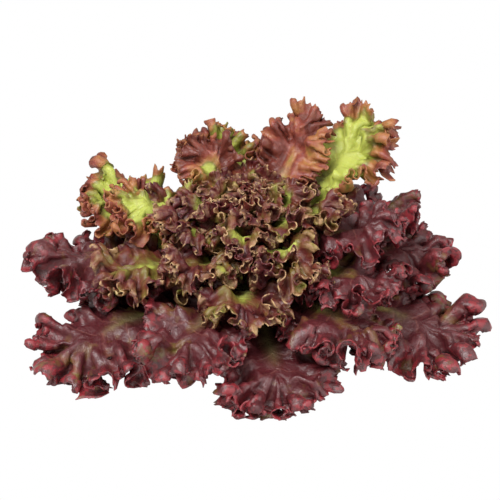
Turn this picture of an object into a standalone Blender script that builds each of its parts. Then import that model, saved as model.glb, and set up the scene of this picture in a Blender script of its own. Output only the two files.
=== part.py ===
"""A head of red frilled lettuce, standing on its cut stem. Metres, +Z up, origin at the cut.

The leaves grow from a short stem in five whorls. Each leaf is a fan whose veins run from its
rib to a waved margin, bent along a circular arc and wrapped round the stem's axis. A whorl's
leaves keep to their own share of the circle, and every whorl rises more steeply than the one
below it, so that no leaf meets another. The curled heart is many small leaves in one body.
"""

import math
import random
from dataclasses import dataclass

import bmesh
import bpy
import numpy as np

# The stem, as cut from the root.
STEM_RADIUS = 0.0125
STEM_TOP_RADIUS = 0.0055
STEM_HEIGHT = 0.034
STEM_SIDES = 24
CUT_BEVEL = 0.0012

# Where each whorl leaves the stem, and how steeply it rises. Whorl 0 is the outermost.
WHORL_FOOT_RADIUS = (0.0150, 0.0138, 0.0126, 0.0114, 0.0102)
WHORL_FOOT_HEIGHT = (0.0065, 0.0120, 0.0175, 0.0230, 0.0285)
WHORL_RISE = (33.0, 43.5, 54.5, 65.5, 76.0)
WHORL_NAMES = ("floor", "outer", "middle", "upper", "inner")

# The leaves of each whorl, in clockwise order: compass angle from +X, the tip's distance from
# the axis and its height, and the leaf's width. Angles are in degrees, the rest in metres.
WHORL_LEAVES = (
    (
        (-21, 0.139, 0.003, 0.108),
        (-80, 0.113, 0.003, 0.100),
        (-149, 0.137, 0.003, 0.108),
        (160, 0.126, 0.004, 0.102),
        (104, 0.116, 0.004, 0.100),
        (42, 0.120, 0.003, 0.102),
    ),
    (
        (-50, 0.114, 0.026, 0.090),
        (-113, 0.112, 0.026, 0.090),
        (180, 0.128, 0.032, 0.100),
        (130, 0.112, 0.030, 0.094),
        (72, 0.110, 0.030, 0.094),
        (9, 0.122, 0.030, 0.096),
    ),
    (
        (-34, 0.098, 0.048, 0.078),
        (-93, 0.084, 0.046, 0.074),
        (-153, 0.098, 0.052, 0.078),
        (157, 0.110, 0.062, 0.082),
        (92, 0.086, 0.076, 0.080),
        (22, 0.108, 0.050, 0.090),
    ),
    (
        (-64, 0.070, 0.062, 0.064),
        (-125, 0.070, 0.063, 0.064),
        (174, 0.082, 0.076, 0.068),
        (114, 0.070, 0.093, 0.070),
        (34, 0.096, 0.104, 0.078),
        (-16, 0.088, 0.072, 0.074),
    ),
    (
        (-95, 0.050, 0.068, 0.054),
        (-166, 0.056, 0.074, 0.054),
        (127, 0.052, 0.099, 0.053),
        (54, 0.064, 0.111, 0.056),
        (-20, 0.058, 0.082, 0.056),
    ),
)

# The finish of each of these leaves.
BURGUNDY = "burgundy_leaf"
BRONZE = "bronze_leaf"
CURLED = "heart_leaf"
LEAF_FINISHES = (
    (BURGUNDY, BURGUNDY, BURGUNDY, BURGUNDY, BURGUNDY, BURGUNDY),
    (BURGUNDY, BURGUNDY, BURGUNDY, BURGUNDY, BURGUNDY, BURGUNDY),
    (BURGUNDY, CURLED, CURLED, BRONZE, BRONZE, BURGUNDY),
    (CURLED, CURLED, BRONZE, BRONZE, BRONZE, BURGUNDY),
    (CURLED, CURLED, BRONZE, BRONZE, CURLED),
)

# A leaf's own form, as shares of its length or width.
BLADE_START = 0.10
FAN_CENTRE = 0.72
VEIN_SLANT = 0.50
TAPER_TO_STALK = 0.37
STALK_SHARE = 0.105
BLADE_THICKNESS = 0.0010
RIB_THICKNESS = 0.0026
RIB_END = 0.70

# The folds of a leaf's margin. Heights are a share of the distance from the stem.
BROAD_FOLDS = 2.5
BROAD_HEIGHT = 0.034
WAVES = (9, 9, 8, 7.5, 7)
WAVE_HEIGHT = 0.060
WAVE_START = 1.5
WAVE_LEAN = 0.30
OUTLINE_POINTS = 1200

# The grid that carries a leaf: columns round the margin for each whorl, and rows as shares
# of the way from the rib to the margin.
COLUMNS = (34, 34, 30, 28, 26)
ROWS = (0.0, 0.42, 0.74, 1.0)

# Leaves near the ground flatten onto it. Each whorl keeps a little higher than the last.
GROUND_CLEARANCE = 0.0012
GROUND_STEP = 0.0040
GROUND_SOFTNESS = 0.0040

# A leaf eases off before it reaches the next leaf of its whorl.
SIDE_GAP = 0.0024
SIDE_SHARPNESS = 8
LEAST_ROOM = 0.2

# The heart: small leaves in a spiral, each turned from the last by the golden angle.
HEART_LEAVES = 9
HEART_TURN = 137.5
HEART_FIRST_ANGLE = 20.0
HEART_LENGTH = (0.066, 0.044)
HEART_WIDTH = (0.058, 0.046)
HEART_RISE = (83.0, 93.0)
HEART_TIP = (32.0, 72.0)
HEART_FOOT_RADIUS = (0.0060, 0.0020)
HEART_FOOT_HEIGHT = (0.0385, 0.0500)
HEART_ROOM = 120.0
HEART_WAVES = 6
HEART_COLUMNS = 22
HEART_ROWS = (0.0, 0.62, 1.0)
HEART_THICKNESS = 0.0012
CORE_RADIUS = 0.0105
CORE_BOTTOM = 0.0343
CORE_TOP = 0.0700
CORE_SIDES = 14
CORE_RINGS = 6

WHORL_SEED = 7
HEART_SEED = 28


@dataclass
class Leaf:
    """One leaf: where it leaves the stem, its size, its bend and its folds."""

    name: str
    angle: float
    length: float
    width: float
    rise: float
    tip: float
    foot_radius: float
    foot_height: float
    waves: float
    wave_height: float
    ground: float
    room_right: float
    room_left: float
    phase: float
    broad_phase: float
    drift: float

    @property
    def stalk(self):
        """Half of the width of the stalk where it meets the stem."""
        return STALK_SHARE * self.width / 2

    def outline(self, place):
        """The margin on the flat leaf, from the left of the foot (-1) past the tip (0)."""
        turn = np.linspace(-math.pi, math.pi, OUTLINE_POINTS)
        low = BLADE_START * self.length
        across = self.width / 2 * np.sin(turn) * (1 - TAPER_TO_STALK + TAPER_TO_STALK * np.cos(turn))
        across += np.sign(turn) * self.stalk * ((1 - np.cos(turn)) / 2) ** 3
        along = (self.length + low) / 2 + (self.length - low) / 2 * np.cos(turn)
        across = np.concatenate(([-self.stalk], across, [self.stalk]))
        along = np.concatenate(([0.0], along, [0.0]))
        steps = np.hypot(np.diff(across), np.diff(along))
        run = np.concatenate(([0.0], np.cumsum(steps)))
        at = (place + 1) / 2 * run[-1]
        return np.interp(at, run, across), np.interp(at, run, along)

    def flat(self, share, place):
        """A point of the flat leaf, at a share of the vein that ends at that place."""
        across, along = self.outline(place)
        root = np.minimum(along - VEIN_SLANT * np.abs(across), FAN_CENTRE * self.length)
        root = np.maximum(root, 0.0)
        return across * share, root + (along - root) * share

    def spine(self, along):
        """Distance from the axis and height of the rib, which is an arc of a circle."""
        rise = math.radians(self.rise)
        bend = math.radians(self.rise - self.tip) / self.length
        slope = rise - bend * along
        out = self.foot_radius + (math.sin(rise) - np.sin(slope)) / bend
        up = self.foot_height + (np.cos(slope) - math.cos(rise)) / bend
        return out, up

    def smooth(self, share, place):
        """The leaf with no folds, wrapped round the stem's axis."""
        across, along = self.flat(share, place)
        out, up = self.spine(along)
        turn = math.radians(self.angle) + across / out
        return np.stack((out * np.cos(turn), out * np.sin(turn), up), axis=-1)

    def folded(self, share, place):
        """The leaf with its broad folds and its waves, and flattened where it meets the ground."""
        step = 1e-3
        here = self.smooth(share, place)
        edge_way = self.smooth(share, place + step) - self.smooth(share, place - step)
        vein_way = self.smooth(share + step, place) - self.smooth(share - step, place)
        face_way = np.cross(vein_way, edge_way)
        edge_way = edge_way / (np.linalg.norm(edge_way, axis=-1, keepdims=True) + 1e-12)
        face_way = face_way / (np.linalg.norm(face_way, axis=-1, keepdims=True) + 1e-12)
        reach = self.flat(share, place)[1] * share**WAVE_START
        wave = 2 * math.pi * self.waves * place / 2 + self.phase
        wave = wave + self.drift * np.sin(2 * math.pi * place + self.broad_phase)
        broad = 2 * math.pi * BROAD_FOLDS * place / 2 + self.broad_phase
        height = reach * (BROAD_HEIGHT * np.sin(broad) + self.wave_height * np.sin(wave))
        lean = -reach * self.wave_height * WAVE_LEAN * np.sin(2 * wave)
        point = here + face_way * height[..., None] + edge_way * lean[..., None]
        return self.kept_clear(point)

    def kept_clear(self, point):
        """The same point, eased off the ground and out of the neighbouring leaves' shares."""
        lift = (point[..., 2] - self.ground) / GROUND_SOFTNESS
        up = self.ground + GROUND_SOFTNESS * np.logaddexp(0.0, lift)
        middle = math.radians(self.angle)
        ahead = point[..., 0] * math.cos(middle) + point[..., 1] * math.sin(middle)
        aside = point[..., 1] * math.cos(middle) - point[..., 0] * math.sin(middle)
        out = np.hypot(ahead, aside)
        turn = np.arctan2(aside, ahead)
        room = np.where(turn > 0, self.room_left, self.room_right)
        room = np.maximum(np.radians(room) - SIDE_GAP / out, LEAST_ROOM)
        turn = turn / (1 + np.abs(turn / room) ** SIDE_SHARPNESS) ** (1 / SIDE_SHARPNESS)
        return np.stack((out * np.cos(middle + turn), out * np.sin(middle + turn), up), axis=-1)


def clear_scene():
    """Takes the startup objects out of the scene."""
    for item in list(bpy.data.objects):
        bpy.data.objects.remove(item)


def material(name, colour, roughness):
    """A plain finish for one kind of sub-part."""
    made = bpy.data.materials.new(name)
    made.use_nodes = True
    shader = made.node_tree.nodes["Principled BSDF"]
    shader.inputs["Base Color"].default_value = (*colour, 1.0)
    shader.inputs["Roughness"].default_value = roughness
    shader.inputs["Metallic"].default_value = 0.0
    made.diffuse_color = (*colour, 1.0)
    return made


def add_object(name, shape, finish):
    """Puts a bmesh into the scene as one object."""
    mesh = bpy.data.meshes.new(name)
    shape.to_mesh(mesh)
    shape.free()
    mesh.materials.append(finish)
    made = bpy.data.objects.new(name, mesh)
    bpy.context.scene.collection.objects.link(made)
    return made


def add_stem(finish):
    """The short tapered stem, with a bevel round its cut face."""
    shape = bmesh.new()
    bmesh.ops.create_cone(
        shape,
        cap_ends=True,
        segments=STEM_SIDES,
        radius1=STEM_RADIUS,
        radius2=STEM_TOP_RADIUS,
        depth=STEM_HEIGHT,
    )
    bmesh.ops.translate(shape, verts=shape.verts, vec=(0, 0, STEM_HEIGHT / 2))
    cut_rim = [edge for edge in shape.edges if max(v.co.z for v in edge.verts) < CUT_BEVEL]
    bmesh.ops.bevel(shape, geom=cut_rim, offset=CUT_BEVEL, segments=2, affect="EDGES")
    made = add_object("stem", shape, finish)
    made.data.shade_smooth()
    made.data.set_sharp_from_angle(angle=math.radians(40))
    return made


def add_leaf(leaf, columns, rows, thickness, finish):
    """A leaf as one closed blade: a grid of triangles on its folded form, made solid."""
    shape = bmesh.new()
    bmesh.ops.create_grid(shape, x_segments=columns, y_segments=len(rows) - 1, size=1.0)
    shape.verts.ensure_lookup_table()
    place = np.array([v.co.x for v in shape.verts])
    row = np.rint((np.array([v.co.y for v in shape.verts]) + 1) / 2 * (len(rows) - 1)).astype(int)
    share = np.array(rows)[row]
    along = leaf.flat(share, place)[1]
    points = leaf.folded(share, place)
    ribbed = np.where(share == 0, np.clip(1 - along / (RIB_END * leaf.length), 0, 1), 0)
    thick = thickness + (RIB_THICKNESS - thickness) * ribbed
    layer = shape.verts.layers.deform.verify()
    for vertex, point, depth in zip(shape.verts, points, thick):
        vertex.co = point
        vertex[layer][0] = float(depth / RIB_THICKNESS)
    bmesh.ops.remove_doubles(shape, verts=shape.verts, dist=2e-5)
    bmesh.ops.triangulate(shape, faces=shape.faces)
    made = add_object(leaf.name, shape, finish)
    made.vertex_groups.new(name="thickness")
    solid = made.modifiers.new("thickness", "SOLIDIFY")
    solid.thickness = RIB_THICKNESS
    solid.offset = 0.0
    solid.vertex_group = "thickness"
    solid.use_quality_normals = True
    made.data.shade_smooth()
    return made


def arc_to(foot_radius, foot_height, rise, reach, height):
    """Length, and slope at the tip in degrees, of the arc from a leaf's foot to its tip."""
    out = reach - foot_radius
    up = height - foot_height
    half_turn = math.radians(rise) - math.atan2(up, out)
    length = math.hypot(out, up) * half_turn / math.sin(half_turn)
    return length, rise - math.degrees(2 * half_turn)


def whorl_leaf(whorl, number, draw):
    """The description of one leaf of a whorl, with its folds drawn from the seeded draw."""
    leaves = WHORL_LEAVES[whorl]
    angle, reach, height, width = leaves[number]
    foot_radius = WHORL_FOOT_RADIUS[whorl]
    foot_height = WHORL_FOOT_HEIGHT[whorl]
    rise = WHORL_RISE[whorl]
    length, tip = arc_to(foot_radius, foot_height, rise, reach, height)
    to_left = (leaves[number - 1][0] - angle) % 360
    to_right = (angle - leaves[(number + 1) % len(leaves)][0]) % 360
    return Leaf(
        name=f"{WHORL_NAMES[whorl]}_leaf_{number + 1}",
        angle=angle,
        length=length,
        width=width,
        rise=rise,
        tip=tip,
        foot_radius=foot_radius,
        foot_height=foot_height,
        waves=WAVES[whorl],
        wave_height=WAVE_HEIGHT,
        ground=GROUND_CLEARANCE + GROUND_STEP * whorl,
        room_right=to_right / 2,
        room_left=to_left / 2,
        phase=draw.uniform(0, 2 * math.pi),
        broad_phase=draw.uniform(0, 2 * math.pi),
        drift=draw.uniform(0.3, 0.8),
    )


def heart_leaf(number, draw):
    """The description of one leaf of the heart, smaller and more upright towards the middle."""
    inward = number / (HEART_LEAVES - 1)

    def between(ends):
        return ends[0] + (ends[1] - ends[0]) * inward

    return Leaf(
        name=f"heart_leaf_{number + 1}",
        angle=HEART_FIRST_ANGLE + HEART_TURN * number,
        length=between(HEART_LENGTH),
        width=between(HEART_WIDTH),
        rise=between(HEART_RISE),
        tip=between(HEART_TIP),
        foot_radius=between(HEART_FOOT_RADIUS),
        foot_height=between(HEART_FOOT_HEIGHT),
        waves=HEART_WAVES,
        wave_height=WAVE_HEIGHT * 1.5,
        ground=0.0,
        room_right=HEART_ROOM,
        room_left=HEART_ROOM,
        phase=draw.uniform(0, 2 * math.pi),
        broad_phase=draw.uniform(0, 2 * math.pi),
        drift=draw.uniform(0.3, 0.8),
    )


def keep_largest_body(made):
    """Leaves only the largest closed surface: sealed hollows are filled and loose scraps dropped."""
    shape = bmesh.new()
    shape.from_mesh(made.data)
    left = set(shape.faces)
    bodies = []
    while left:
        found = [left.pop()]
        for face in found:
            shared = [edge for edge in face.edges if len(edge.link_faces) == 2]
            joined = {other for edge in shared for other in edge.link_faces} & left
            left -= joined
            found.extend(joined)
        bodies.append(found)
    largest = max(bodies, key=len)
    scraps = [face for body in bodies if body is not largest for face in body]
    bmesh.ops.delete(shape, geom=scraps, context="FACES")
    shape.to_mesh(made.data)
    shape.free()


def add_heart(draw, finish):
    """The curled heart: a slim core and its crossing leaves, joined in one body."""
    core_height = CORE_TOP - CORE_BOTTOM
    shape = bmesh.new()
    bmesh.ops.create_uvsphere(shape, u_segments=CORE_SIDES, v_segments=CORE_RINGS, radius=1.0)
    bmesh.ops.scale(shape, verts=shape.verts, vec=(CORE_RADIUS, CORE_RADIUS, core_height / 2))
    bmesh.ops.translate(shape, verts=shape.verts, vec=(0, 0, CORE_BOTTOM + core_height / 2))
    heart = add_object("heart", shape, finish)
    leaves = bpy.data.collections.new("heart_leaves")
    bpy.context.scene.collection.children.link(leaves)
    for number in range(HEART_LEAVES):
        leaf = heart_leaf(number, draw)
        made = add_leaf(leaf, HEART_COLUMNS, HEART_ROWS, HEART_THICKNESS, finish)
        bpy.context.scene.collection.objects.unlink(made)
        leaves.objects.link(made)
    join = heart.modifiers.new("join", "BOOLEAN")
    join.operation = "UNION"
    join.operand_type = "COLLECTION"
    join.collection = leaves
    join.solver = "MANIFOLD"
    bpy.context.view_layer.objects.active = heart
    bpy.ops.object.modifier_apply(modifier=join.name)
    for made in list(leaves.objects):
        bpy.data.objects.remove(made)
    bpy.data.collections.remove(leaves)
    keep_largest_body(heart)
    return heart


def build():
    """Makes the whole head."""
    clear_scene()
    draw = random.Random(WHORL_SEED)
    stem_finish = material("stem_flesh", (0.62, 0.66, 0.40), 0.55)
    finishes = {
        BURGUNDY: material(BURGUNDY, (0.20, 0.03, 0.05), 0.35),
        BRONZE: material(BRONZE, (0.30, 0.20, 0.06), 0.40),
        CURLED: material(CURLED, (0.22, 0.08, 0.06), 0.45),
    }
    add_stem(stem_finish)
    for whorl, leaves in enumerate(WHORL_LEAVES):
        for number in range(len(leaves)):
            leaf = whorl_leaf(whorl, number, draw)
            finish = finishes[LEAF_FINISHES[whorl][number]]
            add_leaf(leaf, COLUMNS[whorl], ROWS, BLADE_THICKNESS, finish)
    add_heart(random.Random(HEART_SEED), finishes[CURLED])


build()
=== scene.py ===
"""The looks of a head of red frilled lettuce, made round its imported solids.

Each blade is a fine sheet on the same form as its solid: a fan of veins from the rib to a waved
margin. Finer frills, curls and teeth are added in turn, each raised from the form before it.
Metres, +Z up. The stem's cut face is at the origin, and the photograph is taken from -Y.
"""

import math
import random
from dataclasses import dataclass

import bmesh
import bpy
import numpy as np
from bpy.props import FloatProperty, FloatVectorProperty, IntProperty, PointerProperty
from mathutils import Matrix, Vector


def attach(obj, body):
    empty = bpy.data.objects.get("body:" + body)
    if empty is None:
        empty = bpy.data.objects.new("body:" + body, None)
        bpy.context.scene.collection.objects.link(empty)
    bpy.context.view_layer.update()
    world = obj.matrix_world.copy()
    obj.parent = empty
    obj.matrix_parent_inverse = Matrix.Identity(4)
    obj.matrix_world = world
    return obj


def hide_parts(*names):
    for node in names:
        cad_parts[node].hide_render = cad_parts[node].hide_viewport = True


bl_info = {
    "name": "Frilled lettuce",
    "version": (1, 0, 0),
    "blender": (4, 5, 0),
    "location": "3D View > Sidebar > Lettuce",
    "description": "Dresses a head of red frilled lettuce with fine waved leaves",
    "category": "Object",
}

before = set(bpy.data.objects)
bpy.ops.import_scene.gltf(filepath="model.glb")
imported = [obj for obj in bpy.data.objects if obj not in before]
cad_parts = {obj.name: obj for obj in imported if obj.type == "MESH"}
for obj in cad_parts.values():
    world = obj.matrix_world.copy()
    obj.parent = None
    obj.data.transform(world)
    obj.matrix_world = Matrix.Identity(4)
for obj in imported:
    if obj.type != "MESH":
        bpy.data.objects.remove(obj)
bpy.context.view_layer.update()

# Where each whorl leaves the stem, and how steeply it rises. Whorl 0 is the outermost.
WHORL_NAMES = ("floor", "outer", "middle", "upper", "inner")
WHORL_FOOT_RADIUS = (0.0150, 0.0138, 0.0126, 0.0114, 0.0102)
WHORL_FOOT_HEIGHT = (0.0065, 0.0120, 0.0175, 0.0230, 0.0285)
WHORL_RISE = (33.0, 43.5, 54.5, 65.5, 76.0)
WHORL_WAVES = (9, 9, 8, 7.5, 7)

# The share of its solid's reach that a fine leaf has, because its frills stand past its margin.
FINE_REACH = (0.96, 0.97, 0.98, 0.99, 1.0)

# The leaves of each whorl, in clockwise order: compass angle from +X, the tip's distance from
# the axis and its height, the leaf's width, how far out from the rib its green reaches, how
# dense its frills are, from 0 for the broad outer leaves to 1 for the heart, and its finish.
BURGUNDY = "burgundy_leaf"
BRONZE = "bronze_leaf"
CURLED = "heart_leaf"
WHORL_LEAVES = (
    (
        (-21, 0.139, 0.003, 0.108, 0.10, 0.0, BURGUNDY),
        (-80, 0.113, 0.003, 0.100, 0.05, 0.0, BURGUNDY),
        (-149, 0.137, 0.003, 0.108, 0.10, 0.0, BURGUNDY),
        (160, 0.126, 0.004, 0.102, 0.10, 0.0, BURGUNDY),
        (104, 0.116, 0.004, 0.100, 0.10, 0.0, BURGUNDY),
        (42, 0.120, 0.003, 0.102, 0.10, 0.0, BURGUNDY),
    ),
    (
        (-50, 0.114, 0.026, 0.090, 0.12, 0.1, BURGUNDY),
        (-113, 0.112, 0.026, 0.090, 0.08, 0.1, BURGUNDY),
        (180, 0.128, 0.032, 0.100, 0.16, 0.0, BURGUNDY),
        (130, 0.112, 0.030, 0.094, 0.20, 0.1, BURGUNDY),
        (72, 0.110, 0.030, 0.094, 0.20, 0.1, BURGUNDY),
        (9, 0.122, 0.030, 0.096, 0.10, 0.0, BURGUNDY),
    ),
    (
        (-34, 0.098, 0.048, 0.078, 0.24, 0.3, BURGUNDY),
        (-93, 0.084, 0.046, 0.074, 0.20, 0.8, CURLED),
        (-153, 0.098, 0.052, 0.078, 0.22, 0.8, CURLED),
        (157, 0.110, 0.062, 0.082, 0.82, 0.8, BRONZE),
        (92, 0.086, 0.076, 0.080, 0.66, 0.6, BRONZE),
        (22, 0.108, 0.050, 0.090, 0.14, 0.1, BURGUNDY),
    ),
    (
        (-64, 0.070, 0.062, 0.064, 0.28, 0.9, CURLED),
        (-125, 0.070, 0.063, 0.064, 0.38, 1.0, CURLED),
        (174, 0.082, 0.076, 0.068, 0.78, 1.0, BRONZE),
        (114, 0.070, 0.093, 0.070, 0.74, 0.8, BRONZE),
        (34, 0.096, 0.104, 0.078, 0.80, 0.8, BRONZE),
        (-16, 0.088, 0.072, 0.074, 0.16, 0.2, BURGUNDY),
    ),
    (
        (-95, 0.050, 0.068, 0.054, 0.44, 1.0, CURLED),
        (-166, 0.056, 0.074, 0.054, 0.46, 1.0, CURLED),
        (127, 0.052, 0.099, 0.053, 0.48, 0.8, BRONZE),
        (54, 0.064, 0.110, 0.056, 0.26, 1.0, BRONZE),
        (-20, 0.058, 0.082, 0.056, 0.40, 0.9, CURLED),
    ),
)

# A leaf's own form, as shares of its length or width.
BLADE_START = 0.10
FAN_CENTRE = 0.72
VEIN_SLANT = 0.50
TAPER_TO_STALK = 0.37
STALK_SHARE = 0.105
STALK_EASE = 3
RIB_END = 0.70
OUTLINE_POINTS = 1200

# The broad folds and the waves of the solids. Heights are a share of the distance from the stem.
BROAD_FOLDS = 2.5
BROAD_HEIGHT = 0.034
WAVE_HEIGHT = 0.068
WAVE_START = 1.5
WAVE_LEAN = 0.30
WAVE_DRIFT = (0.3, 0.8)
WHORL_SEED = 7

# Leaves near the ground flatten onto it, and ease off before the next leaf of their whorl.
GROUND_CLEARANCE = 0.0012
GROUND_STEP = 0.0040
GROUND_SOFTNESS = 0.0040
SIDE_GAP = 0.0024
SIDE_SHARPNESS = 8
LEAST_ROOM = 0.2
OVERLAP = 1.12

# The heart's small leaves, from the outermost to the innermost, in a spiral.
HEART_LEAVES = 26
HEART_TURN = 137.5
HEART_FIRST_ANGLE = 20.0
HEART_LENGTH = (0.068, 0.038)
HEART_WIDTH = (0.056, 0.042)
HEART_RISE = (64.0, 94.0)
HEART_TIP = (-4.0, 74.0)
HEART_FOOT_RADIUS = (0.0085, 0.0020)
HEART_FOOT_HEIGHT = (0.0330, 0.0470)
HEART_ROOM = 120.0
HEART_WAVES = 6
HEART_WAVE_HEIGHT = 0.090
HEART_GREEN = (0.50, 0.60)
HEART_SEED = 28

# The finer folds. A pair is for the broad outer leaves and for the heart, and the other leaves
# lie between. Lengths are along the flat margin. A band is a power of the share of the way out,
# so a larger one keeps its folds nearer to the margin. Leans are shares of the fold's height.
# A leaf as wide as the full size has folds of full height, and a narrower one has lower ones.
FOLD_START = 0.3
FRILL_LENGTH = (0.0150, 0.0070)
FRILL_BAND = (2.0, 1.4)
FRILL_LEAN = -0.28
FRILL_TURN_BACK = 0.3
CURL_LENGTH = (0.0058, 0.0030)
CURL_BAND = (6.0, 3.5)
CURL_LEAN = -0.35
FULL_SIZE = 0.10

# Lobes, teeth and scallops lengthen and shorten the veins, by a share of their own length.
LOBE_LENGTH = 0.0260
LOBE_SHARE = 0.035
LOBE_BAND = 5
TOOTH_LENGTH = (0.0019, 0.0014)
SHORT_TOOTH_SHARE = 0.57
TOOTH_SHARE = (0.014, 0.022)
TOOTH_BAND = 14.0
SCALLOP_LENGTH = (0.0060, 0.0042)
SCALLOP_SHARE = (0.026, 0.036)
SCALLOP_BAND = 7.0

# Blisters swell all over a blade but by its foot and its rib.
BLISTER_LENGTHS = (0.026, 0.012, 0.0065)
BLISTER_HEIGHTS = (0.0030, 0.0020, 0.0010)
BLISTER_TURN = 137.5
BLISTER_WAVES = 4
BLISTER_START = 0.4
BLISTER_RIB = 3

# Folds are unevenly spaced and of uneven strength round the margin. Each row has a wave's height,
# how fast it runs along the margin, and how much of the fold's own shift it starts from.
UNEVEN_SPACING = ((0.9, 1.7, 5), (0.7, 4.3, 9))
UNEVEN_STRENGTH = ((0.3, 7.1, 3), (0.2, 17.3, 7))

# Each leaf draws one shift for each of these.
FINE_SEED = 12
FINE_SHIFTS = 9
LOBE, LONG_TOOTH, SHORT_TOOTH, SCALLOP, FRILL, FRILL_SWELL, TURN_BACK, CURL, CURL_SWELL = range(
    FINE_SHIFTS
)

# The step by which a form's own directions are measured, and what keeps a division from zero.
FORM_STEP = 1e-3
NO_LENGTH = 1e-12

# The sheet that carries a blade: columns at the rib for each whorl and the heart, rows from the
# rib to the margin, closer towards the margin, and where the columns double on the way out. Points
# this level lie in the same row, and points as close as the smallest edge become one.
COLUMNS = (78, 78, 70, 62, 54, 38)
ROWS = 14
ROW_POWER = 1.3
COLUMN_BANDS = (0.35, 0.55, 0.70, 0.84)
SAME_ROW = 1e-6
SMALLEST_EDGE = 2e-5

# Where a leaf goes from green to red: how far out a point is, by the share of its vein and by its
# distance from the foot, and how far before and after the leaf's own green value this begins and
# ends. The last line is where the thin edge begins.
RED_BY_SHARE = 0.60
RED_BY_LENGTH = 0.40
RED_BEFORE = 0.24
RED_AFTER = 0.26
EDGE_START = 0.955

# The pattern of the skins. Scales are for object coordinates in metres, veins are counted round
# the margin, strengths go from none at 0 to full at 1, and a pair holds the ends of a range.
BLOTCH_SCALE = 48.0
SPECK_SCALE = 230.0
NOISE_DETAIL = 3.0
NOISE_ROUGHNESS = 0.6
SPECK_SPREAD = 0.35
MAIN_VEINS = 22.0
MAIN_VEIN_STRENGTH = 0.20
SIDE_VEINS = 74.0
SIDE_VEIN_STRENGTH = 0.10
VEIN_WANDER = 0.7
VEIN_HALF_WIDTH = 0.07
VEIN_FADE = 0.8
RIM_PATCHES = (0.48, 0.62)
RIM_POWER = 4.0
EDGE_STRENGTH = 0.35
ROUGH_SPECKS = (0.3, 0.7)
ROUGHNESS = (0.40, 0.60)
BLISTER_SCALE = 190.0
BLISTER_BUMP = 0.6
BUMP_STRENGTH = 0.7
BUMP_HEIGHT = 0.0014
GLOW_DEPTH = (0.0030, 0.0022, 0.0008)

# Where a mix node keeps its factor and its two colours, and then the mixed colour.
MIX_INPUTS = (0, 6, 7)
MIX_OUTPUT = 2

# The stem's fibres, and the browned skin on its cut face.
FIBRE_SCALE = 420.0
FIBRE_DETAIL = 4.0
FIBRE_STRENGTH = 0.4
FIBRE_HEIGHT = 0.0006
STEM_ROUGHNESS = 0.5
CUT_HEIGHT = 0.004
CUT_BROWN = 0.8

# The floor, the sky and the two lights. The fill's power is a share of the key's.
FLOOR_SIZE = 8.0
FLOOR_ROUGHNESS = 0.9
WHITE = (1.0, 1.0, 1.0, 1.0)
SKY_COLOUR = (1.0, 0.965, 0.92, 1.0)
SKY_STRENGTH = 0.58
KEY_PLACE = (-0.35, -0.45, 0.95)
KEY_SIZE = 0.6
FILL_PLACE = (0.8, -0.5, 0.5)
FILL_SIZE = 0.8
FILL_SHARE = 0.42


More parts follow.
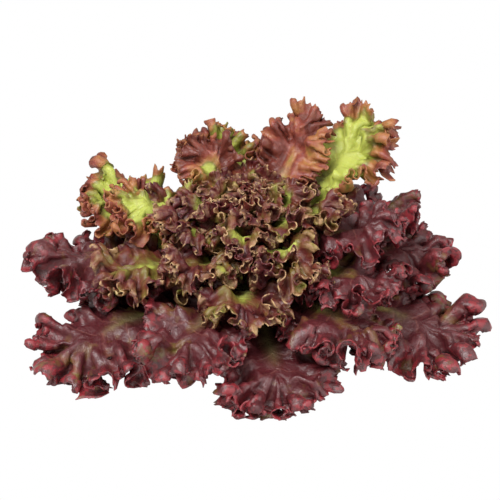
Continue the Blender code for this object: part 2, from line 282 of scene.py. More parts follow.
@dataclass
class Leaf:
    """One leaf: where it leaves the stem, its size, its bend and its folds."""

    name: str
    angle: float
    length: float
    width: float
    rise: float
    tip: float
    foot_radius: float
    foot_height: float
    waves: float
    wave_height: float
    ground: float
    room_right: float
    room_left: float
    phase: float
    broad_phase: float
    drift: float
    green: float
    dense: float
    finish: str
    group: int
    fine: tuple

    def between(self, ends):
        """A value between that of the broad outer leaves and that of the heart."""
        return ends[0] + (ends[1] - ends[0]) * self.dense

    def outline(self, place):
        """The margin on the flat leaf, from the left of the foot (-1) past the tip (0)."""
        turn = np.linspace(-math.pi, math.pi, OUTLINE_POINTS)
        low = BLADE_START * self.length
        stalk = STALK_SHARE * self.width / 2
        across = self.width / 2 * np.sin(turn) * (1 - TAPER_TO_STALK + TAPER_TO_STALK * np.cos(turn))
        across += np.sign(turn) * stalk * ((1 - np.cos(turn)) / 2) ** STALK_EASE
        along = (self.length + low) / 2 + (self.length - low) / 2 * np.cos(turn)
        across = np.concatenate(([-stalk], across, [stalk]))
        along = np.concatenate(([0.0], along, [0.0]))
        steps = np.hypot(np.diff(across), np.diff(along))
        run = np.concatenate(([0.0], np.cumsum(steps)))
        at = (place + 1) / 2 * run[-1]
        return np.interp(at, run, across), np.interp(at, run, along), run[-1]

    def flat(self, share, place):
        """A point of the flat leaf, at a share of the vein that ends at that place."""
        across, along, _ = self.outline(place)
        root = np.minimum(along - VEIN_SLANT * np.abs(across), FAN_CENTRE * self.length)
        root = np.maximum(root, 0.0)
        return across * share, root + (along - root) * share

    def spine(self, along):
        """Distance from the axis and height of the rib, which is an arc of a circle."""
        rise = math.radians(self.rise)
        bend = math.radians(self.rise - self.tip) / self.length
        slope = rise - bend * along
        out = self.foot_radius + (math.sin(rise) - np.sin(slope)) / bend
        up = self.foot_height + (np.cos(slope) - math.cos(rise)) / bend
        return out, up

    def smooth(self, share, place):
        """The leaf with only its lobes, wrapped round the stem's axis."""
        lobes = np.sin(self.margin_waves(place, LOBE_LENGTH, LOBE))
        lobed = share * (1 + LOBE_SHARE * np.maximum(share, 0.0) ** LOBE_BAND * lobes)
        across, along = self.flat(lobed, place)
        out, up = self.spine(along)
        turn = math.radians(self.angle) + across / out
        return np.stack((out * np.cos(turn), out * np.sin(turn), up), axis=-1)

    def margin_waves(self, place, length, number):
        """The phase of folds of this length round the margin, unevenly spaced."""
        shift = self.fine[number]
        count = self.margin / length
        wander = 0
        for height, repeats, part in UNEVEN_SPACING:
            wander = wander + height * np.sin(2 * math.pi * repeats * place + part * shift)
        return math.pi * count * place + shift + wander

    def swell(self, place, number):
        """How strong the folds are at each place, between about a half and one and a half."""
        shift = self.fine[number]
        strength = 1
        for height, repeats, part in UNEVEN_STRENGTH:
            strength = strength + height * np.sin(repeats * place + part * shift)
        return strength

    @property
    def margin(self):
        """The length of the margin on the flat leaf."""
        return self.outline(np.zeros(1))[2]

    def teeth(self, share, place):
        """How far the margin's teeth stand out, as a share of the vein."""
        near = np.maximum(share, 0.0) ** TOOTH_BAND
        length = self.between(TOOTH_LENGTH)
        long_wave = self.margin_waves(place, length, LONG_TOOTH)
        short_wave = self.margin_waves(place, length * SHORT_TOOTH_SHARE, SHORT_TOOTH)
        teeth = 1.5 - 2 * np.abs(np.sin(long_wave / 2)) - np.abs(np.sin(short_wave / 2))
        teeth = self.between(TOOTH_SHARE) * near * teeth * self.swell(place, SCALLOP)
        scallop_wave = self.margin_waves(place, self.between(SCALLOP_LENGTH), SCALLOP)
        scallop = 1 - 2 * np.abs(np.sin(scallop_wave / 2))
        wide = np.maximum(share, 0.0) ** SCALLOP_BAND
        return teeth + self.between(SCALLOP_SHARE) * wide * scallop

    def blisters(self, share, place):
        """The height of the uneven swellings all over the blade, in the flat leaf's plane."""
        across, along = self.flat(share, place)
        height = np.zeros_like(across)
        turn = self.fine[LOBE]
        for length, tall in zip(BLISTER_LENGTHS, BLISTER_HEIGHTS):
            for _ in range(BLISTER_WAVES):
                turn += math.radians(BLISTER_TURN)
                run = across * math.cos(turn) + along * math.sin(turn)
                height += tall / 2 * np.sin(2 * math.pi * run / length + 3 * turn)
        height = height * np.clip(along / (BLISTER_START * self.length), 0, 1)
        return height * np.clip(BLISTER_RIB * share, 0, 1)

    def folded(self, share, place):
        """The leaf with the broad folds and the waves that its solid has, and its blisters."""
        reach = self.flat(share, place)[1] * np.maximum(share, 0.0) ** WAVE_START
        wave = math.pi * self.waves * place + self.phase
        wave = wave + self.drift * np.sin(2 * math.pi * place + self.broad_phase)
        broad = math.pi * BROAD_FOLDS * place + self.broad_phase
        height = reach * (BROAD_HEIGHT * np.sin(broad) + self.wave_height * np.sin(wave))
        lean = -reach * self.wave_height * WAVE_LEAN * np.sin(2 * wave)
        return raised(self.smooth, share, place, height + self.blisters(share, place), lean)

    def near_margin(self, share, place, band):
        """How strong the folds of a band are: full at the margin, none by the rib or the foot."""
        near = np.maximum(share, 0.0) ** self.between(band)
        return near * np.clip(self.flat(share, place)[1] / (FOLD_START * self.length), 0, 1)

    def frilled(self, share, place, depth):
        """The folded leaf with frills along its margin, which also turns back a little."""
        size = self.width / FULL_SIZE
        near = self.near_margin(share, place, FRILL_BAND)
        wave = self.margin_waves(place, self.between(FRILL_LENGTH), FRILL)
        swell = self.swell(place, FRILL_SWELL)
        turned = FRILL_TURN_BACK * self.swell(place, TURN_BACK)
        height = depth * size * near * (swell * np.sin(wave) - turned)
        lean = FRILL_LEAN * depth * size * near * swell * np.sin(2 * wave)
        return raised(self.folded, share, place, height, lean)

    def curled(self, share, place, looks):
        """The frilled leaf with the smallest curls, right at its margin."""
        size = (self.width / FULL_SIZE) ** 0.5
        curl = self.between((looks.curl_depth, looks.heart_curl_depth))
        frill = self.between((looks.frill_depth, looks.heart_frill_depth))
        near = self.near_margin(share, place, CURL_BAND)
        wave = self.margin_waves(place, self.between(CURL_LENGTH), CURL)
        swell = self.swell(place, CURL_SWELL)
        height = curl * size * near * swell * np.sin(wave)
        lean = CURL_LEAN * curl * size * near * swell * np.sin(2 * wave)

        def form(form_share, form_place):
            return self.frilled(form_share, form_place, frill)

        toothed = share * (1 + self.teeth(share, place))
        return self.kept_clear(raised(form, toothed, place, height, lean))

    def kept_clear(self, point):
        """The same point, eased off the ground and out of the neighbouring leaves' shares."""
        lift = (point[..., 2] - self.ground) / GROUND_SOFTNESS
        up = self.ground + GROUND_SOFTNESS * np.logaddexp(0.0, lift)
        middle = math.radians(self.angle)
        ahead = point[..., 0] * math.cos(middle) + point[..., 1] * math.sin(middle)
        aside = point[..., 1] * math.cos(middle) - point[..., 0] * math.sin(middle)
        out = np.hypot(ahead, aside)
        turn = np.arctan2(aside, ahead)
        room = np.where(turn > 0, self.room_left, self.room_right)
        room = np.maximum(np.radians(room) - SIDE_GAP / out, LEAST_ROOM)
        turn = turn / (1 + np.abs(turn / room) ** SIDE_SHARPNESS) ** (1 / SIDE_SHARPNESS)
        return np.stack((out * np.cos(middle + turn), out * np.sin(middle + turn), up), axis=-1)


def raised(form, share, place, height, lean):
    """Points of a form, moved off its own face by a height and along its margin by a lean."""
    edge_way = form(share, place + FORM_STEP) - form(share, place - FORM_STEP)
    vein_way = form(share + FORM_STEP, place) - form(share - FORM_STEP, place)
    face_way = np.cross(vein_way, edge_way)
    edge_way = edge_way / (np.linalg.norm(edge_way, axis=-1, keepdims=True) + NO_LENGTH)
    face_way = face_way / (np.linalg.norm(face_way, axis=-1, keepdims=True) + NO_LENGTH)
    return form(share, place) + face_way * height[..., None] + edge_way * lean[..., None]


def arc_to(foot_radius, foot_height, rise, reach, height):
    """Length, and slope at the tip in degrees, of the arc from a leaf's foot to its tip."""
    out = reach - foot_radius
    up = height - foot_height
    half_turn = math.radians(rise) - math.atan2(up, out)
    length = math.hypot(out, up) * half_turn / math.sin(half_turn)
    return length, rise - math.degrees(2 * half_turn)


def fine_shifts(draw):
    """The starting places of one leaf's finer folds."""
    return tuple(draw.uniform(0, 2 * math.pi) for _ in range(FINE_SHIFTS))


def whorl_leaf(whorl, number, draw, fine_draw):
    """The description of one leaf of a whorl, with its folds drawn as its solid's were."""
    leaves = WHORL_LEAVES[whorl]
    angle, reach, height, width, green, dense, finish = leaves[number]
    foot_radius = WHORL_FOOT_RADIUS[whorl]
    foot_height = WHORL_FOOT_HEIGHT[whorl]
    rise = WHORL_RISE[whorl]
    length, tip = arc_to(foot_radius, foot_height, rise, reach * FINE_REACH[whorl], height)
    to_left = (leaves[number - 1][0] - angle) % 360
    to_right = (angle - leaves[(number + 1) % len(leaves)][0]) % 360
    return Leaf(
        name=f"{WHORL_NAMES[whorl]}_leaf_{number + 1}",
        angle=angle,
        length=length,
        width=width,
        rise=rise,
        tip=tip,
        foot_radius=foot_radius,
        foot_height=foot_height,
        waves=WHORL_WAVES[whorl],
        wave_height=WAVE_HEIGHT,
        ground=GROUND_CLEARANCE + GROUND_STEP * whorl,
        room_right=to_right / 2 * OVERLAP,
        room_left=to_left / 2 * OVERLAP,
        phase=draw.uniform(0, 2 * math.pi),
        broad_phase=draw.uniform(0, 2 * math.pi),
        drift=draw.uniform(*WAVE_DRIFT),
        green=green,
        dense=dense,
        finish=finish,
        group=whorl,
        fine=fine_shifts(fine_draw),
    )


def heart_leaf(number, draw, fine_draw):
    """The description of one leaf of the heart, smaller and more upright towards the middle."""
    inward = number / (HEART_LEAVES - 1)

    def between(ends):
        return ends[0] + (ends[1] - ends[0]) * inward

    return Leaf(
        name=f"heart_leaf_{number + 1}",
        angle=HEART_FIRST_ANGLE + HEART_TURN * number,
        length=between(HEART_LENGTH),
        width=between(HEART_WIDTH),
        rise=between(HEART_RISE),
        tip=between(HEART_TIP),
        foot_radius=between(HEART_FOOT_RADIUS),
        foot_height=between(HEART_FOOT_HEIGHT),
        waves=HEART_WAVES,
        wave_height=HEART_WAVE_HEIGHT,
        ground=0.0,
        room_right=HEART_ROOM,
        room_left=HEART_ROOM,
        phase=draw.uniform(0, 2 * math.pi),
        broad_phase=draw.uniform(0, 2 * math.pi),
        drift=draw.uniform(*WAVE_DRIFT),
        green=between(HEART_GREEN),
        dense=1.0,
        finish=CURLED,
        group=len(WHORL_NAMES),
        fine=fine_shifts(fine_draw),
    )


def all_whorl_leaves():
    """Every leaf of the five whorls, in the order in which their folds are drawn."""
    draw = random.Random(WHORL_SEED)
    fine_draw = random.Random(FINE_SEED)
    return [
        [whorl_leaf(whorl, number, draw, fine_draw) for number in range(len(leaves))]
        for whorl, leaves in enumerate(WHORL_LEAVES)
    ]


def double_columns(piece, start):
    """Doubles the columns of a flat sheet between a share of the way out and its margin."""
    shape = bmesh.from_edit_mesh(piece.data)
    first_row = 2 * start - 1
    rows = [
        edge
        for edge in shape.edges
        if abs(edge.verts[0].co.y - edge.verts[1].co.y) < SAME_ROW and edge.verts[0].co.y > first_row
    ]
    bmesh.ops.subdivide_edges(shape, edges=rows, cuts=1)
    bmesh.update_edit_mesh(piece.data)


def mark_points(mesh, name, values):
    """Keeps one number for each point of a mesh, for its material to read."""
    layer = mesh.attributes.new(name, "FLOAT", "POINT")
    layer.data.foreach_set("value", np.asarray(values, np.float32))


def eased(low, high, value):
    """Goes smoothly from 0 at the low value to 1 at the high one."""
    share = np.clip((value - low) / (high - low), 0, 1)
    return share * share * (3 - 2 * share)


def flat_sheet(leaf):
    """A flat sheet for one leaf, from -1 to 1 both ways, with its columns doubled on the way out."""
    bpy.ops.object.select_all(action="DESELECT")
    bpy.ops.mesh.primitive_grid_add(
        x_subdivisions=COLUMNS[leaf.group], y_subdivisions=ROWS, size=2.0
    )
    piece = bpy.context.active_object
    piece.name = f"fine_{leaf.name}"
    bpy.ops.object.mode_set(mode="EDIT")
    for start in COLUMN_BANDS:
        double_columns(piece, start)
    bpy.ops.object.mode_set(mode="OBJECT")
    return piece


def give_thickness(piece, depth, thickest):
    """Closes the foot of a folded sheet and makes it solid, as thick as it is to be everywhere."""
    group = piece.vertex_groups.new(name="thickness")
    for index, weight in enumerate(depth / thickest):
        group.add([index], float(weight), "REPLACE")
    bpy.ops.object.mode_set(mode="EDIT")
    bpy.ops.mesh.select_all(action="SELECT")
    bpy.ops.mesh.remove_doubles(threshold=SMALLEST_EDGE)
    bpy.ops.mesh.quads_convert_to_tris()
    bpy.ops.object.mode_set(mode="OBJECT")
    bpy.ops.object.shade_smooth()
    solid = piece.modifiers.new("thickness", "SOLIDIFY")
    solid.thickness = thickest
    solid.offset = 0.0
    solid.vertex_group = group.name
    bpy.ops.object.modifier_apply(modifier=solid.name)
    points = np.arange(len(piece.data.vertices))
    mark_points(piece.data, "under", points >= len(points) // 2)


def add_blade(leaf, node, looks):
    """One leaf: a flat sheet of the vein's share by the margin's place, folded and made solid."""
    piece = flat_sheet(leaf)
    mesh = piece.data
    flat = np.empty(len(mesh.vertices) * 3)
    mesh.vertices.foreach_get("co", flat)
    flat = flat.reshape(-1, 3)
    place = flat[:, 0]
    share = 1 - np.clip((1 - flat[:, 1]) / 2, 0, 1) ** ROW_POWER
    corners = np.empty(len(mesh.loops), np.int32)
    mesh.loops.foreach_get("vertex_index", corners)
    spread = np.stack(((place + 1) / 2, share), axis=-1)[corners]
    mesh.uv_layers.active.data.foreach_set("uv", spread.astype(np.float32).ravel())

    across, along = leaf.flat(share, place)
    points = leaf.curled(share, place, looks)
    mesh.vertices.foreach_set("co", points.astype(np.float32).ravel())
    out = RED_BY_SHARE * share + RED_BY_LENGTH * along / leaf.length
    rib = np.exp(-((across / looks.rib_width) ** 2))
    rib = rib * np.clip(1 - along / (RIB_END * leaf.length), 0, 1)
    mark_points(mesh, "red", eased(leaf.green - RED_BEFORE, leaf.green + RED_AFTER, out))
    mark_points(mesh, "rib", rib)
    mark_points(mesh, "edge", eased(EDGE_START, 1.0, share))
    depth = looks.blade_thickness + (looks.rib_thickness - looks.blade_thickness) * rib
    give_thickness(piece, depth, looks.rib_thickness)

    skin = bpy.data.materials.get(f"{leaf.finish}_skin") or FINISHES[leaf.finish](looks)
    mesh.materials.clear()
    mesh.materials.append(skin)
    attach(piece, "root")
    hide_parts(node)


def feed(tree, socket, value):
    """Joins a node's input to another node's output, or sets it to a number or colour."""
    if isinstance(value, bpy.types.NodeSocket):
        tree.links.new(value, socket)
    else:
        socket.default_value = value


def node_after(tree, kind, **inputs):
    """Adds a shader node and sets or joins its named inputs."""
    node = tree.nodes.new(kind)
    for name, value in inputs.items():
        feed(tree, node.inputs[name.replace("_", " ")], value)
    return node


def math_of(tree, operation, first, second):
    """One math node, with two numbers or sockets."""
    node = tree.nodes.new("ShaderNodeMath")
    node.operation = operation
    for socket, value in zip(node.inputs, (first, second)):
        feed(tree, socket, value)
    return node.outputs[0]


def mixed(tree, factor, first, second):
    """A colour between two colours or sockets."""
    node = tree.nodes.new("ShaderNodeMix")
    node.data_type = "RGBA"
    for number, value in zip(MIX_INPUTS, (factor, first, second)):
        feed(tree, node.inputs[number], value)
    return node.outputs[MIX_OUTPUT]


def point_value(tree, name):
    """The number that each point of the mesh keeps under this name."""
    node = tree.nodes.new("ShaderNodeAttribute")
    node.attribute_type = "GEOMETRY"
    node.attribute_name = name
    return node.outputs["Fac"]


def noise(tree, place, scale):
    """An even noise in the object's own coordinates."""
    node = node_after(
        tree,
        "ShaderNodeTexNoise",
        Vector=place,
        Scale=scale,
        Detail=NOISE_DETAIL,
        Roughness=NOISE_ROUGHNESS,
    )
    return node.outputs["Fac"]


def ranged(tree, value, old_ends, new_ends):
    """A number moved from one range into another, and kept within it."""
    node = node_after(
        tree,
        "ShaderNodeMapRange",
        Value=value,
        From_Min=old_ends[0],
        From_Max=old_ends[1],
        To_Min=new_ends[0],
        To_Max=new_ends[1],
    )
    return node.outputs[0]


def veins(tree, spread, count, wander):
    """Thin lines that run from the rib to the margin, where the sheet's places repeat."""
    parts = node_after(tree, "ShaderNodeSeparateXYZ", Vector=spread)
    at = math_of(tree, "MULTIPLY", parts.outputs["X"], count)
    at = math_of(tree, "ADD", at, math_of(tree, "MULTIPLY", wander, VEIN_WANDER))
    near = math_of(tree, "SUBTRACT", math_of(tree, "FRACT", at, 0.0), 0.5)
    near = math_of(tree, "ABSOLUTE", near, 0.0)
    line = ranged(tree, near, (0.0, VEIN_HALF_WIDTH), (1.0, 0.0))
    fade = math_of(tree, "MULTIPLY", parts.outputs["Y"], VEIN_FADE)
    return math_of(tree, "MULTIPLY", line, math_of(tree, "SUBTRACT", 1.0, fade))


def ramped(tree, value, stops):
    """The colour of a ramp at a value, from its stops' positions and colours."""
    ramp = node_after(tree, "ShaderNodeValToRGB", Fac=value)
    elements = ramp.color_ramp.elements
    while len(elements) < len(stops):
        elements.new(0.5)
    for element, (position, colour) in zip(elements, stops):
        element.position = position
        element.color = (*colour, 1.0)
    return ramp.outputs["Color"]


def leaf_material(name, looks, stops, edge_colour, rim, under, patchy, translucence, gloss):
    """Leaf skin: green by the rib to red at the margin, with veins, blisters and a satin gloss."""
    made = bpy.data.materials.new(name)
    made.use_nodes = True
    tree = made.node_tree
    shader = tree.nodes["Principled BSDF"]
    place = tree.nodes.new("ShaderNodeTexCoord")
    solid = place.outputs["Object"]
    spread = place.outputs["UV"]
    blotch = noise(tree, solid, BLOTCH_SCALE)
    speck = noise(tree, solid, SPECK_SCALE)
    wide = math_of(tree, "MULTIPLY", math_of(tree, "SUBTRACT", blotch, 0.5), patchy)
    fine = math_of(tree, "MULTIPLY", math_of(tree, "SUBTRACT", speck, 0.5), SPECK_SPREAD)
    red = math_of(tree, "ADD", point_value(tree, "red"), math_of(tree, "ADD", wide, fine))
    greener = math_of(tree, "MULTIPLY", point_value(tree, "under"), under)
    colour = ramped(tree, math_of(tree, "SUBTRACT", red, greener), stops)

    main_veins = veins(tree, spread, MAIN_VEINS, blotch)
    side_veins = veins(tree, spread, SIDE_VEINS, speck)
    main_veins = math_of(tree, "MULTIPLY", main_veins, MAIN_VEIN_STRENGTH)
    side_veins = math_of(tree, "MULTIPLY", side_veins, SIDE_VEIN_STRENGTH)
    lines = math_of(tree, "ADD", main_veins, side_veins)
    colour = mixed(tree, lines, colour, (*looks.vein_colour, 1.0))
    colour = mixed(tree, point_value(tree, "rib"), colour, (*looks.rib_colour, 1.0))

    share = node_after(tree, "ShaderNodeSeparateXYZ", Vector=spread).outputs["Y"]
    near_rim = math_of(tree, "MULTIPLY", math_of(tree, "POWER", share, RIM_POWER), rim)
    edge = math_of(tree, "MULTIPLY", point_value(tree, "edge"), EDGE_STRENGTH)
    edge = math_of(tree, "ADD", edge, near_rim)
    edge = math_of(tree, "MULTIPLY", edge, ranged(tree, speck, RIM_PATCHES, (0.0, 1.0)))
    colour = mixed(tree, edge, colour, (*edge_colour, 1.0))
    tree.links.new(colour, shader.inputs["Base Color"])
    tree.links.new(ranged(tree, speck, ROUGH_SPECKS, ROUGHNESS), shader.inputs["Roughness"])

    blister = node_after(tree, "ShaderNodeTexVoronoi", Vector=solid, Scale=BLISTER_SCALE)
    blister.feature = "SMOOTH_F1"
    hollow = math_of(tree, "MULTIPLY", blister.outputs["Distance"], BLISTER_BUMP)
    height = math_of(tree, "SUBTRACT", math_of(tree, "SUBTRACT", speck, hollow), lines)
    bump = node_after(
        tree, "ShaderNodeBump", Height=height, Strength=BUMP_STRENGTH, Distance=BUMP_HEIGHT
    )
    tree.links.new(bump.outputs["Normal"], shader.inputs["Normal"])
    shader.inputs["Specular IOR Level"].default_value = gloss
    shader.inputs["Subsurface Weight"].default_value = translucence
    shader.inputs["Subsurface Radius"].default_value = GLOW_DEPTH
    shader.inputs["Subsurface Scale"].default_value = 1.0
    return made


def burgundy_finish(looks):
    """The outer leaves: dark burgundy with a little olive by the rib and crimson margins."""
    stops = (
        (0.00, looks.lime),
        (0.20, looks.olive),
        (0.36, looks.umber),
        (0.58, looks.burgundy),
        (1.00, looks.burgundy),
    )
    return leaf_material(
        "burgundy_leaf_skin",
        looks,
        stops,
        edge_colour=looks.crimson,
        rim=2.2,
        under=0.28,
        patchy=2.2,
        translucence=0.04,
        gloss=0.65,
    )


def bronze_finish(looks):
    """The upper leaves: lime blades that turn bronze and then russet towards their frills."""
    stops = (
        (0.08, looks.lime),
        (0.36, looks.olive),
        (0.54, looks.bronze),
        (0.82, looks.russet),
        (1.00, looks.plum),
    )
    return leaf_material(
        "bronze_leaf_skin",
        looks,
        stops,
        edge_colour=looks.bronze,
        rim=0.25,
        under=0.06,
        patchy=2.4,
        translucence=0.14,
        gloss=0.5,
    )


def heart_finish(looks):
    """The heart: olive in its depths, purple-brown curls, and tan edges in broken patches, partly the
    curls' own tan and partly painted highlight glints.
    """
    stops = (
        (0.00, looks.lime),
        (0.28, looks.olive),
        (0.56, looks.umber),
        (0.76, looks.plum),
        (1.00, looks.burgundy),
    )
    return leaf_material(
        "heart_leaf_skin",
        looks,
        stops,
        # The tan on the broken edges is partly the curls' own colour and partly painted highlight
        # glints.
        edge_colour=looks.tan,
        rim=0.42,
        under=0.18,
        patchy=3.2,
        translucence=0.08,
        gloss=0.45,
    )


FINISHES = {BURGUNDY: burgundy_finish, BRONZE: bronze_finish, CURLED: heart_finish}


def stem_finish(looks):
    """Stem flesh: pale green with fine lengthwise fibres and a browned cut face."""
    made = bpy.data.materials.new("stem_skin")
    made.use_nodes = True
    tree = made.node_tree
    shader = tree.nodes["Principled BSDF"]
    place = tree.nodes.new("ShaderNodeTexCoord")
    solid = place.outputs["Object"]
    parts = node_after(tree, "ShaderNodeSeparateXYZ", Vector=solid)
    fibres = node_after(
        tree, "ShaderNodeTexNoise", Vector=solid, Scale=FIBRE_SCALE, Detail=FIBRE_DETAIL
    ).outputs["Fac"]
    cut = ranged(tree, parts.outputs["Z"], (0.0, CUT_HEIGHT), (CUT_BROWN, 0.0))
    brown = math_of(tree, "MULTIPLY", cut, fibres)
    colour = mixed(tree, brown, (*looks.rib_colour, 1.0), (*looks.bronze, 1.0))
    tree.links.new(colour, shader.inputs["Base Color"])
    bump = node_after(
        tree, "ShaderNodeBump", Height=fibres, Strength=FIBRE_STRENGTH, Distance=FIBRE_HEIGHT
    )
    tree.links.new(bump.outputs["Normal"], shader.inputs["Normal"])
    shader.inputs["Roughness"].default_value = STEM_ROUGHNESS
    return made


def colour_property(name, description, default):
    """A colour that the user may change."""
    return FloatVectorProperty(
        name=name, description=description, default=default, size=3, min=0.0, max=1.0, subtype="COLOR"
    )


class LettuceLooks(bpy.types.PropertyGroup):
    """Sizes and colours of the dressed leaves."""

    frill_depth: FloatProperty(
        name="Frill depth", description="Height of the frills of a broad outer leaf",
        default=0.0066, min=0.0, max=0.02, unit="LENGTH",
    )
    heart_frill_depth: FloatProperty(
        name="Heart frill depth", description="Height of the frills of the densest leaves",
        default=0.0052, min=0.0, max=0.02, unit="LENGTH",
    )
    curl_depth: FloatProperty(
        name="Curl depth", description="Height of the smallest curls of a broad outer leaf",
        default=0.0026, min=0.0, max=0.01, unit="LENGTH",
    )
    heart_curl_depth: FloatProperty(
        name="Heart curl depth", description="Height of the smallest curls of the densest leaves",
        default=0.0018, min=0.0, max=0.01, unit="LENGTH",
    )
    blade_thickness: FloatProperty(
        name="Blade thickness", description="Thickness of a blade away from its rib",
        default=0.0006, min=0.0002, max=0.003, unit="LENGTH",
    )
    rib_thickness: FloatProperty(
        name="Rib thickness", description="Thickness of the rib at the foot of a leaf",
        default=0.0032, min=0.0005, max=0.01, unit="LENGTH",
    )
    rib_width: FloatProperty(
        name="Rib width", description="Half of the width of the rib",
        default=0.0030, min=0.0005, max=0.02, unit="LENGTH",
    )
    lime: colour_property("Lime", "Blade near the rib", (0.36, 0.40, 0.07))
    olive: colour_property("Olive", "Blade where the red begins", (0.15, 0.13, 0.02))
    bronze: colour_property("Bronze", "Upper leaves past their green", (0.30, 0.125, 0.038))
    russet: colour_property("Russet", "Frills of the upper leaves", (0.200, 0.040, 0.026))
    crimson: colour_property("Crimson", "Margins of the dark leaves", (0.180, 0.009, 0.015))
    burgundy: colour_property("Burgundy", "Blades of the dark leaves", (0.066, 0.006, 0.009))
    umber: colour_property("Umber", "Dark leaves and heart past their green", (0.120, 0.052, 0.014))
    plum: colour_property("Plum", "Curls of the heart", (0.108, 0.018, 0.011))
    # The heart's edge colour: partly its own tan, partly a painted highlight glint.
    tan: colour_property("Tan", "Edges of the heart's curls", (0.50, 0.33, 0.16))
    rib_colour: colour_property("Rib", "Rib and stem flesh", (0.50, 0.52, 0.20))
    vein_colour: colour_property("Vein", "Veins of the blade", (0.34, 0.12, 0.09))


class LettuceStudio(bpy.types.PropertyGroup):
    """The floor, the lights and the camera."""

    floor_colour: colour_property("Floor", "Colour of the floor", (0.80, 0.80, 0.80))
    floor_glow: FloatProperty(
        name="Floor glow", description="How bright the floor looks to the camera", default=1.0, min=0.0
    )
    camera_rise: FloatProperty(
        name="Camera rise", description="Angle of the camera above the horizon",
        default=math.radians(30), subtype="ANGLE",
    )
    camera_distance: FloatProperty(
        name="Camera distance", description="Distance of the camera from its aim",
        default=0.90, unit="LENGTH",
    )
    view_width: FloatProperty(
        name="View width", description="Width that the picture shows at the aim",
        default=0.2885, unit="LENGTH",
    )
    aim_height: FloatProperty(
        name="Aim height", description="Height of the point that the camera looks at",
        default=0.0447, unit="LENGTH",
    )
    key_power: FloatProperty(
        name="Key power", description="Power of the main light", default=16.5, min=0.0, unit="POWER"
    )


class LETTUCE_OT_dress_stem(bpy.types.Operator):
    """Gives the stem its flesh"""

    bl_idname = "lettuce.dress_stem"
    bl_label = "Dress stem"

    def execute(self, context):
        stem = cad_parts["stem"]
        stem.data.materials.clear()
        stem.data.materials.append(stem_finish(context.scene.lettuce_looks))
        return {"FINISHED"}


class LETTUCE_OT_add_whorl(bpy.types.Operator):
    """Makes the fine leaves of one whorl"""

    bl_idname = "lettuce.add_whorl"
    bl_label = "Add whorl"

    whorl: IntProperty(
        name="Whorl", description="0 is the outermost", default=0, min=0, max=len(WHORL_NAMES) - 1
    )

    def execute(self, context):
        for leaf in all_whorl_leaves()[self.whorl]:
            add_blade(leaf, leaf.name, context.scene.lettuce_looks)
        return {"FINISHED"}


class LETTUCE_OT_add_heart(bpy.types.Operator):
    """Makes the curled heart"""

    bl_idname = "lettuce.add_heart"
    bl_label = "Add heart"

    def execute(self, context):
        draw = random.Random(HEART_SEED)
        fine_draw = random.Random(HEART_SEED + FINE_SEED)
        for number in range(HEART_LEAVES):
            add_blade(heart_leaf(number, draw, fine_draw), "heart", context.scene.lettuce_looks)
        return {"FINISHED"}


def add_light(name, place, aim, size, power):
    """A square soft light that looks at a point."""
    light = bpy.data.lights.new(name, "AREA")
    light.size = size
    light.energy = power
    holder = bpy.data.objects.new(name, light)
    bpy.context.scene.collection.objects.link(holder)
    holder.location = place
    holder.rotation_euler = (Vector(aim) - Vector(place)).to_track_quat("-Z", "Y").to_euler()


def add_floor(studio):
    """A plain floor that lights the head as a pale one does, and looks plain white itself."""
    bpy.ops.object.select_all(action="DESELECT")
    bpy.ops.mesh.primitive_plane_add(size=FLOOR_SIZE)
    floor = bpy.context.active_object
    floor.name = "floor"
    paint = bpy.data.materials.new("floor_paint")
    paint.use_nodes = True
    tree = paint.node_tree
    shader = tree.nodes["Principled BSDF"]
    shader.inputs["Base Color"].default_value = (*studio.floor_colour, 1.0)
    shader.inputs["Roughness"].default_value = FLOOR_ROUGHNESS
    glow = node_after(tree, "ShaderNodeEmission", Color=WHITE, Strength=studio.floor_glow)
    seen = tree.nodes.new("ShaderNodeLightPath")
    either = tree.nodes.new("ShaderNodeMixShader")
    tree.links.new(seen.outputs["Is Camera Ray"], either.inputs["Fac"])
    tree.links.new(shader.outputs["BSDF"], either.inputs[1])
    tree.links.new(glow.outputs["Emission"], either.inputs[2])
    tree.links.new(either.outputs["Shader"], tree.nodes["Material Output"].inputs["Surface"])
    floor.data.materials.append(paint)


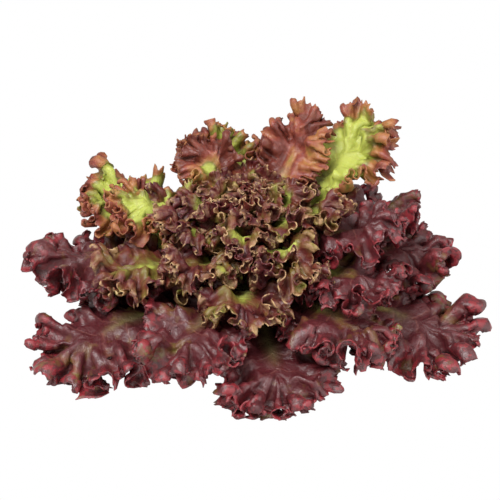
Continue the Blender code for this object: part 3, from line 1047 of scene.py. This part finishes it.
class LETTUCE_OT_set_stage(bpy.types.Operator):
    """Sets the floor, the lights and the camera"""

    bl_idname = "lettuce.set_stage"
    bl_label = "Set stage"

    def execute(self, context):
        studio = context.scene.lettuce_studio
        add_floor(studio)
        world = bpy.data.worlds.new("studio")
        world.use_nodes = True
        sky = world.node_tree.nodes["Background"]
        sky.inputs["Color"].default_value = SKY_COLOUR
        sky.inputs["Strength"].default_value = SKY_STRENGTH
        context.scene.world = world
        context.scene.view_settings.view_transform = "Standard"

        aim = Vector((0.0, 0.0, studio.aim_height))
        add_light("key", KEY_PLACE, aim, KEY_SIZE, studio.key_power)
        add_light("fill", FILL_PLACE, aim, FILL_SIZE, studio.key_power * FILL_SHARE)

        lens = bpy.data.cameras.new("camera")
        camera = bpy.data.objects.new("camera", lens)
        context.scene.collection.objects.link(camera)
        back = Vector((0.0, -math.cos(studio.camera_rise), math.sin(studio.camera_rise)))
        camera.location = aim + back * studio.camera_distance
        camera.rotation_euler = (-back).to_track_quat("-Z", "Y").to_euler()
        lens.lens = lens.sensor_width * studio.camera_distance / studio.view_width
        context.scene.camera = camera
        return {"FINISHED"}


class LETTUCE_PT_panel(bpy.types.Panel):
    """Lists the steps that dress the lettuce"""

    bl_idname = "LETTUCE_PT_panel"
    bl_label = "Frilled lettuce"
    bl_space_type = "VIEW_3D"
    bl_region_type = "UI"
    bl_category = "Lettuce"

    def draw(self, context):
        for group in (context.scene.lettuce_looks, context.scene.lettuce_studio):
            for name in group.__annotations__:
                self.layout.prop(group, name)
        self.layout.operator("lettuce.dress_stem")
        for whorl, name in enumerate(WHORL_NAMES):
            step = self.layout.operator("lettuce.add_whorl", text=f"Add {name} whorl")
            step.whorl = whorl
        self.layout.operator("lettuce.add_heart")
        self.layout.operator("lettuce.set_stage")


CLASSES = (
    LettuceLooks,
    LettuceStudio,
    LETTUCE_OT_dress_stem,
    LETTUCE_OT_add_whorl,
    LETTUCE_OT_add_heart,
    LETTUCE_OT_set_stage,
    LETTUCE_PT_panel,
)


def register():
    """Makes the properties, the steps and the panel known to Blender."""
    for made in CLASSES:
        bpy.utils.register_class(made)
    bpy.types.Scene.lettuce_looks = PointerProperty(type=LettuceLooks)
    bpy.types.Scene.lettuce_studio = PointerProperty(type=LettuceStudio)


def unregister():
    """Takes them out again."""
    del bpy.types.Scene.lettuce_studio
    del bpy.types.Scene.lettuce_looks
    for made in reversed(CLASSES):
        bpy.utils.unregister_class(made)


def main():
    """Dresses the whole head."""
    register()
    bpy.ops.lettuce.set_stage()
    bpy.ops.lettuce.dress_stem()
    for whorl in range(len(WHORL_NAMES)):
        bpy.ops.lettuce.add_whorl(whorl=whorl)
    bpy.ops.lettuce.add_heart()


if __name__ == "__main__":
    main()
